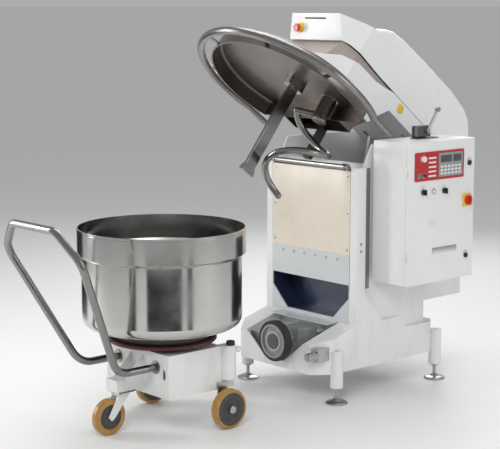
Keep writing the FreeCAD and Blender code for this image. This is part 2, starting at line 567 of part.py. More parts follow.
def make_spiral_drive():
    sx, sy = spiral_axis()
    mx, my = MOTOR_PLACE
    rim = [(PULLEY_R, PULLEY_Z0), (PULLEY_R, PULLEY_Z1), (PIVOT_R, PULLEY_Z1), (PIVOT_R, PULLEY_Z0)]
    parts["spiral_pulley"] = raised(revolve(rim, sx, sy))
    motor_shaft = rod((mx, my, PULLEY_Z0 - 6), (mx, my, 1641), 14)
    small_pulley = rod((mx, my, PULLEY_Z0), (mx, my, PULLEY_Z1), MOTOR_PULLEY_R)
    parts["motor_pulley"] = raised(fuse(small_pulley, motor_shaft))
    fins = [rod((mx, my, 1660 + i * 16), (mx, my, 1668 + i * 16), MOTOR_R + 8) for i in range(7)]
    motor = fuse(rod((mx, my, 1642), (mx, my, 1788), MOTOR_R), *fins)
    posts = []
    for degrees in (45, 135, 225, 315):
        x = mx + MOTOR_POST_CIRCLE * math.cos(math.radians(degrees))
        y = my + MOTOR_POST_CIRCLE * math.sin(math.radians(degrees))
        posts.append(rod((x, y, 1508), (x, y, 1642), 9))
    plate = rod((mx, my, 1630), (mx, my, 1643), 140).cut(rod((mx, my, 1620), (mx, my, 1643), 60))
    parts["spiral_motor"] = raised(fuse(motor, plate, *posts))
    loop = belt_loop((sx, sy), PULLEY_R, (mx, my), MOTOR_PULLEY_R, 6)
    hole = belt_loop((sx, sy), PULLEY_R, (mx, my), MOTOR_PULLEY_R, 0.4)
    belt = loop.cut(hole).extrude(V(0, 0, 40))
    belt.translate(V(0, 0, PULLEY_Z0 + 6))
    parts["drive_belt"] = raised(belt.Solids[0])


def make_emergency_stop():
    """A mushroom button on the nose, whose face stands upright while the head is raised."""
    face_y, face_z = raised_point(*ESTOP_LEVEL)
    x = ESTOP_X
    cap = rod((x, face_y - 30, face_z), (x, face_y - 44, face_z), 24)
    cap = rounded(cap, 6, lambda c: c.y < face_y - 43)
    parts["e_stop_button"] = fuse(cap, rod((x, face_y - 18, face_z), (x, face_y - 31, face_z), 12))


# ---------------------------------------------------------------- lid, guard and tools
def make_lid():
    """The dish over the bowl, with a skirt behind it; returns the dish's outer body for the guard's stays."""
    top, sheet = LID_Z + LID_HEIGHT, 3
    outer = rod((0, DOCK_Y, LID_Z), (0, DOCK_Y, top), LID_R)
    outer = rounded(outer, 22, lambda c: c.z > top - 1)
    inner = rod((0, DOCK_Y, LID_Z - 1), (0, DOCK_Y, top - sheet), LID_R - sheet)
    inner = rounded(inner, 19, lambda c: c.z > top - sheet - 1)
    lip = pipe((0, DOCK_Y, LID_Z), (0, DOCK_Y, LID_Z + 6), LID_R + 6, LID_R - 1)
    behind = box(-600, 600, DOCK_Y + LID_CUT, 200, 1000, 1300)
    back_wall = outer.common(box(-600, 600, DOCK_Y + LID_CUT - sheet, DOCK_Y + LID_CUT, LID_Z, top))
    sx, sy = spiral_axis()
    dish = fuse(outer.cut(inner), lip).cut(behind)
    dish = fuse(dish, back_wall)
    cap = rod((-150, DOCK_Y - 150, top - 1), (-150, DOCK_Y - 150, top + 14), 72)
    ring = pipe((0, DOCK_Y, top - 1), (0, DOCK_Y, 1239.9), 170, 140)
    wall_y = DOCK_Y + LID_CUT
    skirt_line = [(wall_y - 1, LID_Z), (-62, LID_Z), (-62, 1150), (8, 1239), (wall_y - 1, 1239)]
    hollow_line = [(wall_y, LID_Z - 1), (-66, LID_Z - 1), (-66, 1150), (2, 1235), (wall_y, 1235)]
    skirt, hollow = prism_x(skirt_line, -230, 230), prism_x(hollow_line, -226, 226)
    lid = fuse(dish, cap, ring, skirt.cut(hollow)).cut(rod((sx, sy, 1100), (sx, sy, 1300), 54.5))
    parts["lid_dish"] = raised(lid)
    return outer


def guard_tube(radius, end):
    """The C-shaped guard: a long arc round the front and a straight arm at each side."""
    back = math.sqrt(GUARD_R ** 2 - GUARD_ARM_X ** 2)
    start_angle = math.degrees(math.atan2(back, GUARD_ARM_X))
    centre = V(0, DOCK_Y, GUARD_Z)
    joint = V(GUARD_ARM_X, DOCK_Y + back, GUARD_Z)
    radial = (joint - centre).normalize()
    tangent = V(-radial.y, radial.x, 0)
    face = Part.Face(Part.Wire(Part.Circle(joint, tangent, radius).toShape()))
    arc = face.revolve(centre, AXIS_Z, -(180 + 2 * start_angle))
    pieces = [arc]
    for side in SIDES:
        at = (side * GUARD_ARM_X, DOCK_Y + back, GUARD_Z)
        pieces.append(Part.makeSphere(radius, V(*at)))
        pieces.append(rod(at, (side * GUARD_ARM_X, DOCK_Y + end, GUARD_Z), radius))
    return fuse(*pieces)


def make_guard(dish_body):
    solid = guard_tube(GUARD_TUBE, GUARD_ARM_END)
    core = guard_tube(GUARD_TUBE - 2.5, GUARD_ARM_END - 4)
    stays = []
    for degrees in (-160, -115, -65, -20):
        bar = box(LID_R - 2, GUARD_R - 8, -12, 12, GUARD_Z - 4, GUARD_Z + 4)
        bar.rotate(V(0, 0, 0), AXIS_Z, degrees)
        bar.translate(V(0, DOCK_Y, 0))
        stays.append(bar.cut(dish_body))
    parts["guard_ring"] = raised(fuse(solid, *stays).cut(core))


def make_tools():
    sx, sy = spiral_axis()
    y0 = DOCK_Y + BAR_BACK - BAR_WIDTH / 2
    y1 = y0 + BAR_WIDTH
    top = LID_Z + LID_HEIGHT - 3
    bar = rounded(box(-10, 10, y0, y1, TOOL_BOTTOM + 8, top), 6, lambda c: 700 < c.z < 1000)
    foot = prism_x([(y0 - 10, TOOL_BOTTOM), (y1 + 10, TOOL_BOTTOM), (y1 + 10, TOOL_BOTTOM + 16),
                    (y1, TOOL_BOTTOM + 44), (y0, TOOL_BOTTOM + 44), (y0 - 10, TOOL_BOTTOM + 16)], -13, 13)
    clamp = box(-34, 34, y0 - 22, y1 + 22, top - 46, top)
    clamp = rounded(clamp, 16, lambda c: abs(c.z - top + 23) < 1)
    parts["breaker_bar"] = raised(fuse(bar, foot, clamp))

    rise = SPIRAL_PITCH * SPIRAL_TURN_DEG / 360
    start = math.radians(SPIRAL_START_DEG)
    z0 = TOOL_BOTTOM + SPIRAL_ROD
    helix = Part.makeHelix(SPIRAL_PITCH, rise, SPIRAL_R)
    helix.rotate(V(0, 0, 0), AXIS_Z, SPIRAL_START_DEG)
    helix.translate(V(sx, sy, z0))
    first = V(sx + SPIRAL_R * math.cos(start), sy + SPIRAL_R * math.sin(start), z0)
    heading = V(-math.sin(start) * SPIRAL_R, math.cos(start) * SPIRAL_R, SPIRAL_PITCH / (2 * math.pi))
    circle = Part.Wire(Part.Circle(first, heading, SPIRAL_ROD).toShape())
    coil = Part.Wire(helix.Edges).makePipeShell([circle], True, True)
    end = start + math.radians(SPIRAL_TURN_DEG)
    last = V(sx + SPIRAL_R * math.cos(end), sy + SPIRAL_R * math.sin(end), z0 + rise)
    spoke = rod(tuple(last), (sx, sy, z0 + rise + 20), SPIRAL_ROD)
    hub = rod((sx, sy, z0 + rise - 22), (sx, sy, 1212), 46)
    hub = rounded(hub, 12, lambda c: c.z < z0 + rise)
    shaft = rod((sx, sy, 1150), (sx, sy, 1630), PIVOT_R)
    tips = [Part.makeSphere(SPIRAL_ROD, first), Part.makeSphere(SPIRAL_ROD, last)]
    parts["spiral_tool"] = raised(fuse(coil, *tips, spoke, hub, shaft))
    block = rounded(box(-4, 48, -98, -66, 900, 1114), 5, lambda c: c.z < 901)
    parts["dough_deflector"] = raised(fuse(block, box(6, 38, -92, -72, 1110, 1150)))


# ---------------------------------------------------------------- bowl
def make_bowl():
    """The bowl with a stepped collar, on a cradle whose flat ring the drive wheel turns."""
    inner_body = BOWL_BODY_R - BOWL_SHEET
    corner = 60
    body = rod((0, 0, BOWL_BOTTOM), (0, 0, BOWL_STEP), BOWL_BODY_R)
    body = rounded(body, corner, lambda c: c.z < BOWL_BOTTOM + 1)
    hollow = rod((0, 0, BOWL_BOTTOM + BOWL_SHEET), (0, 0, BOWL_STEP + 1), inner_body)
    hollow = rounded(hollow, corner - BOWL_SHEET, lambda c: c.z < BOWL_BOTTOM + BOWL_SHEET + 1)
    collar = revolve([(inner_body, BOWL_STEP), (BOWL_BODY_R, BOWL_STEP), (BOWL_R - 3, BOWL_STEP + 16),
                      (BOWL_R - 3, BOWL_RIM), (BOWL_R - 7, BOWL_RIM), (BOWL_R - 7, BOWL_STEP + 18)], 0, 0)
    rim = pipe((0, 0, BOWL_RIM - 12), (0, 0, BOWL_RIM), BOWL_R, BOWL_R - 7)
    band = pipe((0, 0, BOWL_STEP + 17), (0, 0, BOWL_RIM - 14), BOWL_R, BOWL_R - 4)
    shell = fuse(body.cut(hollow), collar, band, rounded(rim, 1.2, lambda c: c.z > BOWL_RIM - 0.1))
    cradle = revolve([(90, 542), (240, 542), (240, 496), (270, 496), (DRIVE_RING_R + 30, BOWL_BOTTOM),
                      (90, BOWL_BOTTOM)], 0, 0)
    ring = revolve([(DRIVE_RING_BORE, DRIVE_RING_Z), (DRIVE_RING_R - 6, DRIVE_RING_Z),
                    (DRIVE_RING_R, DRIVE_RING_Z + 6), (DRIVE_RING_R, 490), (DRIVE_RING_R - 8, 496),
                    (DRIVE_RING_BORE, 496)], 0, 0)
    hub = pipe((0, 0, 472), (0, 0, BOWL_BOTTOM), 90, 40 + RUNNING)
    for name, shape in (("bowl_shell", shell), ("bowl_cradle", fuse(cradle, hub)), ("drive_ring", ring)):
        shape.translate(V(0, TROLLEY_Y, 0))
        parts[name] = shape


# ---------------------------------------------------------------- trolley
def make_trolley():
    t = TROLLEY_Y
    deck_top, bottom, half = CHASSIS_TOP, CHASSIS_BOTTOM, CHASSIS_HALF
    rear, middle, front = t + CHASSIS_REAR, t + CHASSIS_MID, t + CHASSIS_FRONT
    sheet = 6
    body = box(-half, half, rear, middle, bottom, deck_top)
    under, ceiling = bottom - 1, deck_top - sheet
    body = body.cut(box(sheet - half, half - sheet, rear + sheet, middle - sheet, under, ceiling))
    arm = box(half - 40, half, middle - sheet, front, bottom, deck_top)
    arm = arm.cut(box(half - 34, half - sheet, middle - sheet - 1, front - sheet, under, ceiling))
    chassis = fuse(body, arm, mirror_x(arm))
    slot = fuse(rod((236, t - 200, 325), (236, t - 150, 325), 13),
                rod((236, t - 200, 360), (236, t - 150, 360), 13),
                box(223, 249, t - 200, t - 150, 325, 360))
    chassis = chassis.cut([slot, mirror_x(slot)])
    chassis = rounded(chassis, 5, lambda c: abs(c.z - 330) < 2 and c.y < rear + 1 and abs(c.x) > half - 1)
    caster_arm = box(-50, 50, t - 350, rear + 1, 236, 300)
    gusset = [(rear + 1, 240), (rear + 1, 420), (t - 250, 350), (t - 300, 300), (t - 300, 240)]
    sy = t + CASTER_Y
    mount = [box(-55, 55, sy - 55, sy + 55, 228, 237), rod((0, sy, 206), (0, sy, 240), 10),
             rod((0, sy, 206), (0, sy, 211), 16)]
    chassis = fuse(chassis, caster_arm, *[prism_x(gusset, side * 49, side * 56) for side in SIDES])
    spindle = [rod((0, t, deck_top - 1), (0, t, 545), 40), rod((0, t, deck_top - 1), (0, t, 471.7), 85)]
    parts["trolley_chassis"] = fuse(chassis, *mount, *spindle)

    grip = [(168, rear, 373), (168, t - 437, 373), (341, t - 770, 1030), (193, t - 823, 1180),
            (-193, t - 823, 1180), (-341, t - 770, 1030), (-168, t - 437, 373), (-168, rear, 373)]
    bends = (130, 120, 60, 60, 120, 130)
    tube = tube_along(grip, bends, HANDLE_R).cut(tube_along(grip, bends, HANDLE_R - 2.5))
    flanges = [pipe((side * 168, rear - 8, 373), (side * 168, rear, 373), 36, HANDLE_R - 1) for side in SIDES]
    parts["handle_tube"] = fuse(tube, *flanges)

    post = rod((280, t + 235, 257), (280, t + 235, 452), 45).cut(box(200, 280, t + 100, t + 300, 200, 500))
    post = rounded(post, 6, lambda c: c.x > 281 and (c.z > 451 or c.z < 258))
    ball = fuse(rod((300, t + 268, 420), (300, t + 300, 420), 6), Part.makeSphere(17, V(300, t + 294, 420)))
    parts["docking_post"] = fuse(post, ball)


def make_fixed_wheels():
    """Each wheel is a hub with its tyre bonded on, running on a stub axle bolted to the chassis side."""
    t = TROLLEY_Y
    y, z = t + WHEEL_Y, WHEEL_R
    x0, x1 = WHEEL_X - WHEEL_WIDTH / 2, WHEEL_X + WHEEL_WIDTH / 2
    bore = AXLE_R + RUNNING
    wheel = revolve_x([(bore, x0), (WHEEL_R - 6, x0), (WHEEL_R, x0 + 8), (WHEEL_R, x1 - 8), (WHEEL_R - 6, x1),
                       (62, x1), (54, x1 - 6), (30, x1 - 6), (24, x1), (bore, x1)], y, z)
    bracket = fuse(box(CHASSIS_HALF, CHASSIS_HALF + 10, y - 35, y + 35, 80, 250),
                   rod((CHASSIS_HALF, y, z), (x0 - 0.4, y, z), 22))
    cap = rounded(rod((x1 + 0.4, y, z), (x1 + 14, y, z), 22), 5, lambda c: c.x > x1 + 13)
    axle = fuse(bracket, rod((CHASSIS_HALF, y, z), (x1 + 8, y, z), AXLE_R), cap)
    parts["right_wheel"], parts["left_wheel"] = wheel, mirror_x(wheel)
    parts["wheel_axles"] = group([axle, mirror_x(axle)])


def make_caster():
    t = TROLLEY_Y
    sy = t + CASTER_Y
    wy, wz = sy - CASTER_TRAIL, CASTER_R
    half = CASTER_WIDTH / 2
    race = pipe((0, sy, 219), (0, sy, 227.6), 38, 10 + RUNNING)
    crown = box(-half - 9, half + 9, sy - 45, sy + 42, 212, 219)
    leg_outline = [(sy - 40, 214), (sy + 38, 214), (wy + 22, wz - 4), (wy, wz - 20), (wy - 20, wz)]
    legs = [prism_x(leg_outline, side * (half + 3), side * (half + 9)) for side in SIDES]
    nuts = [rod((side * (half + 8), wy, wz), (side * (half + 16), wy, wz), 13) for side in SIDES]
    axle = fuse(rod((-half - 9, wy, wz), (half + 9, wy, wz), 8), *nuts)
    king_bore = rod((0, sy, 200), (0, sy, 240), 10 + RUNNING)
    parts["caster_fork"] = fuse(fuse(race, crown, *legs).cut(king_bore), axle)
    bore = 8 + RUNNING
    parts["caster_wheel"] = revolve_x([(bore, -half - 2), (20, -half - 2), (24, -half + 4), (60, -half + 4),
                                       (66, -half), (CASTER_R - 6, -half), (CASTER_R, -half + 8),
                                       (CASTER_R, half - 8), (CASTER_R - 6, half), (66, half), (60, half - 4),
                                       (24, half - 4), (20, half + 2), (bore, half + 2)], wy, wz)


# ---------------------------------------------------------------- build
make_base()
make_feet()
make_column()
make_front_panels()
make_cabinet()
make_controls()
make_limit_switch()
make_pivot()
make_lift()
make_bowl_drive()
make_head_covers()
make_head_frame()
make_spiral_drive()
make_emergency_stop()
make_guard(make_lid())
make_tools()
make_bowl()
make_trolley()
make_fixed_wheels()
make_caster()

outline = FreeCAD.BoundBox()
for shape in parts.values():
    outline.add(shape.BoundBox)
SHIFT = V(-(outline.XMin + outline.XMax) / 2, -(outline.YMin + outline.YMax) / 2, 0)

os.makedirs("parts", exist_ok=True)
for node, shape in parts.items():
    placed = shape.copy()
    placed.translate(SHIFT)
    placed.exportStep(f"parts/{node}.step")
print(len(parts), "nodes; shift", round(SHIFT.x, 3), round(SHIFT.y, 3), "size",
      [round(v, 1) for v in (outline.XLength, outline.YLength, outline.ZLength)])
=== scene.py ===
"""Looks of the spiral dough mixer: materials, small trim, floor, lights and camera."""
import bmesh
import bpy
import math
from mathutils import Matrix, Vector


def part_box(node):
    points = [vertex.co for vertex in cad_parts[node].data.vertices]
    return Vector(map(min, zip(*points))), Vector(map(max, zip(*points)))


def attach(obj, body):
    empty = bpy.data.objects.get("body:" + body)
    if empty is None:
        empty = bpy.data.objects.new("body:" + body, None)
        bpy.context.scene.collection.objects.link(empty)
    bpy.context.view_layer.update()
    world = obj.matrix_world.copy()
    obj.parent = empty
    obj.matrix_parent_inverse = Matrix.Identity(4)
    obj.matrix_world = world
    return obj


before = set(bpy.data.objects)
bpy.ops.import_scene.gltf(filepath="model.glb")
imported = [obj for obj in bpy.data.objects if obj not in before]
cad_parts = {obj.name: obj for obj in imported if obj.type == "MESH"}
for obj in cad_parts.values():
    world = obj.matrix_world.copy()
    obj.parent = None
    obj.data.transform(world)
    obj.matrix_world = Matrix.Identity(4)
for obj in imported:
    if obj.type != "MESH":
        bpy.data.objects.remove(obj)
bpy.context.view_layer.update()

FOOT_PAD_RADIUS = 0.065
base_low, base_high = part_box("base_frame")
feet_low, feet_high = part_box("levelling_feet")
CENTRE_X = (base_low.x + base_high.x) / 2
FRONT_FEET_Y = feet_low.y + FOOT_PAD_RADIUS


def at(x, y, z):
    """A point given from the machine's centre plane, the line of its front feet and the floor."""
    return Vector((CENTRE_X + x, FRONT_FEET_Y + y, z))


# ---------------------------------------------------------------- material tools
def new_material(name):
    material = bpy.data.materials.new(name)
    material.use_nodes = True
    nodes = material.node_tree.nodes
    nodes.clear()
    output = nodes.new("ShaderNodeOutputMaterial")
    shader = nodes.new("ShaderNodeBsdfPrincipled")
    material.node_tree.links.new(shader.outputs[0], output.inputs[0])
    return material, shader


def link(material, source, target):
    material.node_tree.links.new(source, target)


def shade(colour, factor):
    """The colour made darker by the factor."""
    return tuple(channel * factor for channel in colour)


def noise(material, scale, detail=4.0, stretch=(1, 1, 1), roughness=0.55):
    """Noise in the part's own space, so it stays on the part as it moves."""
    nodes = material.node_tree.nodes
    coords = nodes.new("ShaderNodeTexCoord")
    mapping = nodes.new("ShaderNodeMapping")
    mapping.inputs["Scale"].default_value = stretch
    texture = nodes.new("ShaderNodeTexNoise")
    texture.inputs["Scale"].default_value = scale
    texture.inputs["Detail"].default_value = detail
    texture.inputs["Roughness"].default_value = roughness
    link(material, coords.outputs["Object"], mapping.inputs["Vector"])
    link(material, mapping.outputs["Vector"], texture.inputs["Vector"])
    return texture.outputs["Fac"]


def ramp(material, value, stops):
    """A colour picked by the value from (place, colour) stops."""
    node = material.node_tree.nodes.new("ShaderNodeValToRGB")
    elements = node.color_ramp.elements
    while len(elements) < len(stops):
        elements.new(0.5)
    for element, (place, colour) in zip(elements, stops):
        element.position = place
        element.color = (*colour, 1)
    link(material, value, node.inputs["Fac"])
    return node.outputs["Color"]


def spread(material, value, low, high, from_low=0.3, from_high=0.7):
    """The value, spread from its own range over low to high. Noise mostly lies from 0.3 to 0.7."""
    node = material.node_tree.nodes.new("ShaderNodeMapRange")
    node.inputs["From Min"].default_value = from_low
    node.inputs["From Max"].default_value = from_high
    node.inputs["To Min"].default_value = low
    node.inputs["To Max"].default_value = high
    link(material, value, node.inputs["Value"])
    return node.outputs["Result"]


def mix(material, factor, first, second):
    """first and second are a colour or another node's output."""
    node = material.node_tree.nodes.new("ShaderNodeMix")
    node.data_type = "RGBA"
    link(material, factor, node.inputs["Factor"])
    for socket, value in (("A", first), ("B", second)):
        inputs = [i for i in node.inputs if i.name == socket and i.type == "RGBA"]
        if isinstance(value, tuple):
            inputs[0].default_value = (*value, 1)
        else:
            link(material, value, inputs[0])
    return [o for o in node.outputs if o.type == "RGBA"][0]


def multiply(material, first, second):
    node = material.node_tree.nodes.new("ShaderNodeMath")
    node.operation = "MULTIPLY"
    link(material, first, node.inputs[0])
    link(material, second, node.inputs[1])
    return node.outputs[0]


def bump(material, shader, height, strength, distance):
    node = material.node_tree.nodes.new("ShaderNodeBump")
    node.inputs["Strength"].default_value = strength
    node.inputs["Distance"].default_value = distance
    link(material, height, node.inputs["Height"])
    link(material, node.outputs["Normal"], shader.inputs["Normal"])


def height_above_floor(material):
    nodes = material.node_tree.nodes
    coords = nodes.new("ShaderNodeTexCoord")
    split = nodes.new("ShaderNodeSeparateXYZ")
    link(material, coords.outputs["Object"], split.inputs[0])
    return split.outputs["Z"]


def distance_from(material, point, axis):
    """Distance of a shaded point from the line through point along axis 0, 1 or 2."""
    nodes = material.node_tree.nodes
    coords = nodes.new("ShaderNodeTexCoord")
    mapping = nodes.new("ShaderNodeMapping")
    mapping.inputs["Location"].default_value = -point
    squash = nodes.new("ShaderNodeVectorMath")
    squash.operation = "MULTIPLY"
    squash.inputs[1].default_value = [0 if i == axis else 1 for i in range(3)]
    length = nodes.new("ShaderNodeVectorMath")
    length.operation = "LENGTH"
    link(material, coords.outputs["Object"], mapping.inputs["Vector"])
    link(material, mapping.outputs["Vector"], squash.inputs[0])
    link(material, squash.outputs[0], length.inputs[0])
    return length.outputs["Value"]


# ---------------------------------------------------------------- materials
def paint(name, colour, roughness=0.34, low_darkening=0.5, coat=0.25):
    """Powder coat: fine orange peel, faint clouding, and darker, browner blotches towards the floor."""
    material, shader = new_material(name)
    cloud = noise(material, 2.2, 5)
    tinted = mix(material, spread(material, cloud, 0, 1), colour, shade(colour, 0.93))
    # Darker, browner blotches towards the floor, fading out by 0.75 m up.
    low_down = spread(material, height_above_floor(material), low_darkening, 0.0, 0.08, 0.75)
    patches = spread(material, noise(material, 9, 8, (1, 1, 0.35)), 0, 1, 0.48, 0.75)
    low_dark_tone = tuple(c * f for c, f in zip(colour, (0.62, 0.58, 0.52)))
    link(material, mix(material, multiply(material, low_down, patches), tinted, low_dark_tone),
         shader.inputs["Base Color"])
    link(material, spread(material, noise(material, 14, 6), roughness - 0.05, roughness + 0.1),
         shader.inputs["Roughness"])
    shader.inputs["Coat Weight"].default_value = coat
    shader.inputs["Coat Roughness"].default_value = 0.12
    bump(material, shader, noise(material, 420, 2), 0.05, 0.0006)
    return material


def brushed(name, colour, roughness, stretch, scale, depth):
    """Brushed stainless steel, with the lines drawn out across the stretched axis."""
    material, shader = new_material(name)
    shader.inputs["Metallic"].default_value = 1
    lines = noise(material, scale, 6, stretch, 0.7)
    link(material, mix(material, spread(material, lines, 0, 1), colour, shade(colour, 0.84)),
         shader.inputs["Base Color"])
    smears = noise(material, 5, 6)
    link(material, spread(material, smears, roughness - 0.05, roughness + 0.1), shader.inputs["Roughness"])
    bump(material, shader, lines, depth, 0.0008)
    return material


def plastic(name, colour, roughness=0.38, grain=0.08, coat=0.0):
    """Moulded plastic with a fine grain."""
    material, shader = new_material(name)
    tone = noise(material, 40, 4)
    link(material, mix(material, spread(material, tone, 0, 1), colour, shade(colour, 0.85)),
         shader.inputs["Base Color"])
    link(material, spread(material, noise(material, 60, 3), roughness - 0.06, roughness + 0.08),
         shader.inputs["Roughness"])
    shader.inputs["Coat Weight"].default_value = coat
    bump(material, shader, noise(material, 900, 2), grain, 0.0004)
    return material


def cast(name, colour, metallic=0.3, roughness=0.55):
    """A rough surface with uneven tone: castings, rubber and bare moulded rings."""
    material, shader = new_material(name)
    shader.inputs["Metallic"].default_value = metallic
    tone = noise(material, 16, 8)
    link(material, mix(material, spread(material, tone, 0, 1), colour, shade(colour, 0.7)),
         shader.inputs["Base Color"])
    link(material, spread(material, noise(material, 30, 4), roughness - 0.1, roughness + 0.12),
         shader.inputs["Roughness"])
    bump(material, shader, noise(material, 260, 5), 0.25, 0.0009)
    return material


TREAD_AMBER = (0.47, 0.245, 0.06)
HUB_DARK, HUB_WORN = (0.03, 0.03, 0.028), (0.055, 0.055, 0.05)
TREAD_BLEND = 0.001


def wheel_material(name, node, hub_radius):
    """A cast polyurethane tread bonded to a dark moulded hub, told apart by the distance from the axle."""
    low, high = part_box(node)
    material, shader = new_material(name)
    reach = distance_from(material, (low + high) / 2, 0)
    edge = spread(material, reach, 0, 1, hub_radius - TREAD_BLEND, hub_radius + TREAD_BLEND)
    tread_tone = mix(material, spread(material, noise(material, 22, 6), 0, 1), TREAD_AMBER,
                     shade(TREAD_AMBER, 0.7))
    hub_tone = mix(material, spread(material, noise(material, 40, 4), 0, 1), HUB_DARK, HUB_WORN)
    link(material, mix(material, edge, hub_tone, tread_tone), shader.inputs["Base Color"])
    link(material, spread(material, noise(material, 50, 4), 0.3, 0.5), shader.inputs["Roughness"])
    shader.inputs["Coat Weight"].default_value = 0.2
    bump(material, shader, noise(material, 180, 4), 0.12, 0.0008)
    return material


FACE_REACH = 0.12
HUB_IRON, FACE_IRON = (0.10, 0.10, 0.11), (0.42, 0.43, 0.43)
GROOVE_IRON, RIM_IRON = (0.24, 0.25, 0.25), (0.34, 0.35, 0.35)


def drive_wheel_material():
    """Machined face: a light annulus between a dark hub and the tyre."""
    low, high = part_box("drive_wheel_tyre")
    material, shader = new_material("drive_wheel_face")
    reach = distance_from(material, (low + high) / 2, 1)
    tones = ramp(material, spread(material, reach, 0, 1, 0, FACE_REACH),
                 [(0.0, HUB_IRON), (0.38, HUB_IRON), (0.40, FACE_IRON),
                  (0.53, FACE_IRON), (0.55, GROOVE_IRON), (0.9, RIM_IRON)])
    link(material, tones, shader.inputs["Base Color"])
    shader.inputs["Metallic"].default_value = 0.5
    link(material, spread(material, noise(material, 30, 6), 0.35, 0.55), shader.inputs["Roughness"])
    bump(material, shader, noise(material, 220, 4), 0.15, 0.0006)
    return material


WHITE = paint("white_powder_coat", (0.80, 0.81, 0.80))
HEAD_WHITE = paint("head_white_powder_coat", (0.83, 0.84, 0.84), roughness=0.3, low_darkening=0)
CREAM = paint("cream_panel_paint", (0.76, 0.68, 0.555), roughness=0.28, low_darkening=0, coat=0.4)
GREY = paint("light_grey_paint", (0.60, 0.63, 0.64), roughness=0.36, low_darkening=0.2)
NAVY = paint("navy_liner_paint", (0.022, 0.032, 0.075), roughness=0.32, low_darkening=0.1)
DARK = paint("dark_grey_paint", (0.07, 0.075, 0.08), roughness=0.42, low_darkening=0)
# The seam band's taupe is painted shade: the shadow in the seam under the upper cover's lower lip.
SEAM_SHADE_TAUPE = paint("seam_band_painted_shade", (0.37, 0.31, 0.29), roughness=0.4, low_darkening=0)
# This grey-brown is painted shade for the recessed column side behind the front post.
RECESS_SHADE_GREY = paint("recess_painted_shade_grey", (0.25, 0.225, 0.205), roughness=0.45, low_darkening=0.1)
POLISHED = brushed("polished_stainless", (0.33, 0.32, 0.31), 0.22, (1, 1, 30), 7, 0.015)
BOWL_STEEL = brushed("bowl_stainless", (0.60, 0.59, 0.575), 0.15, (0.6, 0.6, 60), 8, 0.02)
TUBE_STEEL = brushed("tube_stainless", (0.31, 0.30, 0.295), 0.24, (30, 30, 30), 3, 0.012)
# The lid steel is darker and browner than bare stainless: painted shade for the shadowed underside of the
# raised lid.
LID_SHADE_STEEL = brushed("lid_stainless_painted_shade", (0.235, 0.21, 0.195), 0.33, (40, 1, 1), 6, 0.03)
TURNED = brushed("turned_steel", (0.52, 0.52, 0.52), 0.28, (30, 30, 30), 5, 0.03)
CHROME = brushed("chrome_ring", (0.80, 0.80, 0.80), 0.1, (1, 1, 1), 20, 0.01)
CAST_GREY = cast("cast_grey", (0.30, 0.31, 0.32))
MOTOR_METAL = cast("motor_aluminium", (0.56, 0.58, 0.60), metallic=0.7, roughness=0.45)
RUBBER = cast("black_rubber", (0.028, 0.028, 0.03), metallic=0, roughness=0.7)
RING_RED = cast("drive_ring_red", (0.11, 0.03, 0.028), metallic=0.2, roughness=0.5)
BLACK = plastic("black_moulded", (0.022, 0.022, 0.024), 0.42)
GREY_PLASTIC = plastic("grey_moulded", (0.30, 0.32, 0.33), 0.42)
RED_PANEL = plastic("red_panel", (0.50, 0.018, 0.02), 0.3, grain=0.03, coat=0.3)
RED = plastic("red_moulded", (0.62, 0.025, 0.02), 0.28, grain=0.03, coat=0.4)
YELLOW = plastic("yellow_moulded", (0.86, 0.56, 0.03), 0.34, grain=0.04, coat=0.2)
GREEN = plastic("green_moulded", (0.02, 0.30, 0.09), 0.3, grain=0.03, coat=0.3)
WHITE_PLASTIC = plastic("white_moulded", (0.80, 0.80, 0.78), 0.32, grain=0.03, coat=0.2)
LENS = plastic("lamp_lens", (0.76, 0.75, 0.66), 0.14, grain=0.02, coat=0.6)
SCREEN = plastic("display_screen", (0.05, 0.075, 0.07), 0.12, grain=0.01, coat=0.8)
WHEEL_HUB_RADIUS, CASTER_HUB_RADIUS = 0.092, 0.068

SURFACES = {
    WHITE: ("base_frame", "column_sides", "rear_cover", "portal_frame", "cabinet_box", "cabinet_door",
            "door_hinges_fixed", "door_hinges_moving", "trolley_chassis", "docking_post", "caster_fork"),
    HEAD_WHITE: ("head_upper_cover", "head_lower_casing", "head_frame"),
    SEAM_SHADE_TAUPE: ("head_seam_band",),
    CREAM: ("front_panel",),
    GREY: ("hole_strip", "recess_surround"),
    NAVY: ("recess_liner",),
    DARK: ("lift_bracket", "lift_barrel", "bowl_cradle", "limit_switch"),
    BOWL_STEEL: ("bowl_shell",),
    POLISHED: ("breaker_bar", "spiral_tool", "front_rail"),
    TUBE_STEEL: ("guard_ring", "handle_tube"),
    LID_SHADE_STEEL: ("lid_dish",),
    TURNED: ("levelling_feet", "pivot_shaft", "lift_rod", "docking_pin", "limit_lever", "wheel_axles"),
    CAST_GREY: ("pivot_flanges", "motor_pulley", "spiral_pulley", "drive_gearmotor"),
    MOTOR_METAL: ("spiral_motor",),
    BLACK: ("selector_left", "selector_right", "latch_upper", "latch_lower", "stop_button",
            "dough_deflector"),
    GREY_PLASTIC: ("motor_drive_unit",),
    RED_PANEL: ("panel_bezel",),
    RED: ("main_switch_knob", "e_stop_button"),
    GREEN: ("start_button",),
    WHITE_PLASTIC: ("program_knob",),
    RUBBER: ("drive_belt", "drive_wheel_tyre"),
    RING_RED: ("drive_ring",),
    wheel_material("left_wheel_polyurethane", "left_wheel", WHEEL_HUB_RADIUS): ("left_wheel",),
    wheel_material("right_wheel_polyurethane", "right_wheel", WHEEL_HUB_RADIUS): ("right_wheel",),
    wheel_material("caster_polyurethane", "caster_wheel", CASTER_HUB_RADIUS): ("caster_wheel",),
    drive_wheel_material(): ("drive_wheel",),
}

for surface, names in SURFACES.items():
    for name in names:
        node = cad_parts[name]
        node.data.materials.clear()
        node.data.materials.append(surface)


# ---------------------------------------------------------------- mesh tools
SMOOTH_BELOW_DEGREES = 32


